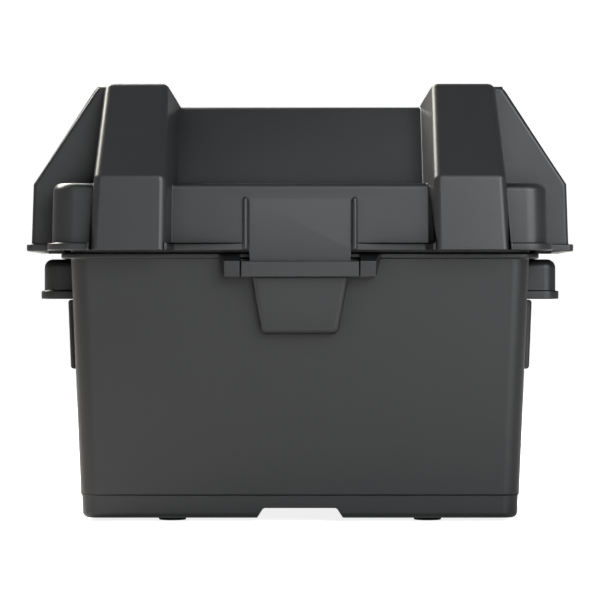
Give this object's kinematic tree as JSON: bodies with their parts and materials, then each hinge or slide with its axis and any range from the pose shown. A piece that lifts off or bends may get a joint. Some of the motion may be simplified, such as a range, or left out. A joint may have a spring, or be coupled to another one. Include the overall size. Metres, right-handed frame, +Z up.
{
  "type": "battery box",
  "caption": "Vented plastic battery box: tapered tub with end handles, strap channel and rubber feet, and a ridged, hooded lift-off lid held by flexing snap latches front and rear.",
  "frame": {"origin": "on the floor under the rubber feet, at the middle of the box", "axes": "+X along the box's length towards its right-hand end seen from the front, -Y towards the front latch, +Z up"},
  "size_m": [0.344, 0.241, 0.2733],
  "materials": {
    "tub_plastic": "fine-grained moulded polypropylene, satin-matte charcoal",
    "lid_plastic": "fine-grained moulded polypropylene, satin-matte charcoal",
    "latch_plastic": "fine-grained moulded polypropylene, satin-matte charcoal",
    "foot_rubber": "matte moulded rubber"
  },
  "bodies": {
    "box": {"box_tub": "tub_plastic", "floor_ribs": "tub_plastic", "left_front_foot": "foot_rubber", "left_rear_foot": "foot_rubber", "right_front_foot": "foot_rubber", "right_rear_foot": "foot_rubber", "left_handle": "tub_plastic", "right_handle": "tub_plastic", "left_end_plate": "tub_plastic", "right_end_plate": "tub_plastic", "front_catch": "tub_plastic", "rear_catch": "tub_plastic", "front_boss": "tub_plastic", "rear_boss": "tub_plastic"},
    "lid": {"lid_cover": "lid_plastic", "lid_seat": "lid_plastic", "left_hood": "lid_plastic", "right_hood": "lid_plastic", "slit_beads": "lid_plastic"},
    "front_latch": {"front_latch": "latch_plastic"},
    "rear_latch": {"rear_latch": "latch_plastic"}
  },
  "joints": [
    {"name": "lid_lift", "type": "slide", "parent": "box", "child": "lid", "axis": [0, 0, 1], "range_m": [0, 0.15]},
    {"name": "front_latch_flex", "type": "hinge", "parent": "lid", "child": "front_latch", "pos_m": [0, -0.1074, 0.1996], "axis": [-1, 0, 0], "range_deg": [0, 10], "stiffness_Nm_per_rad": 4},
    {"name": "rear_latch_flex", "type": "hinge", "parent": "lid", "child": "rear_latch", "pos_m": [0, 0.1074, 0.1996], "axis": [1, 0, 0], "range_deg": [0, 10], "stiffness_Nm_per_rad": 4}
  ]
}
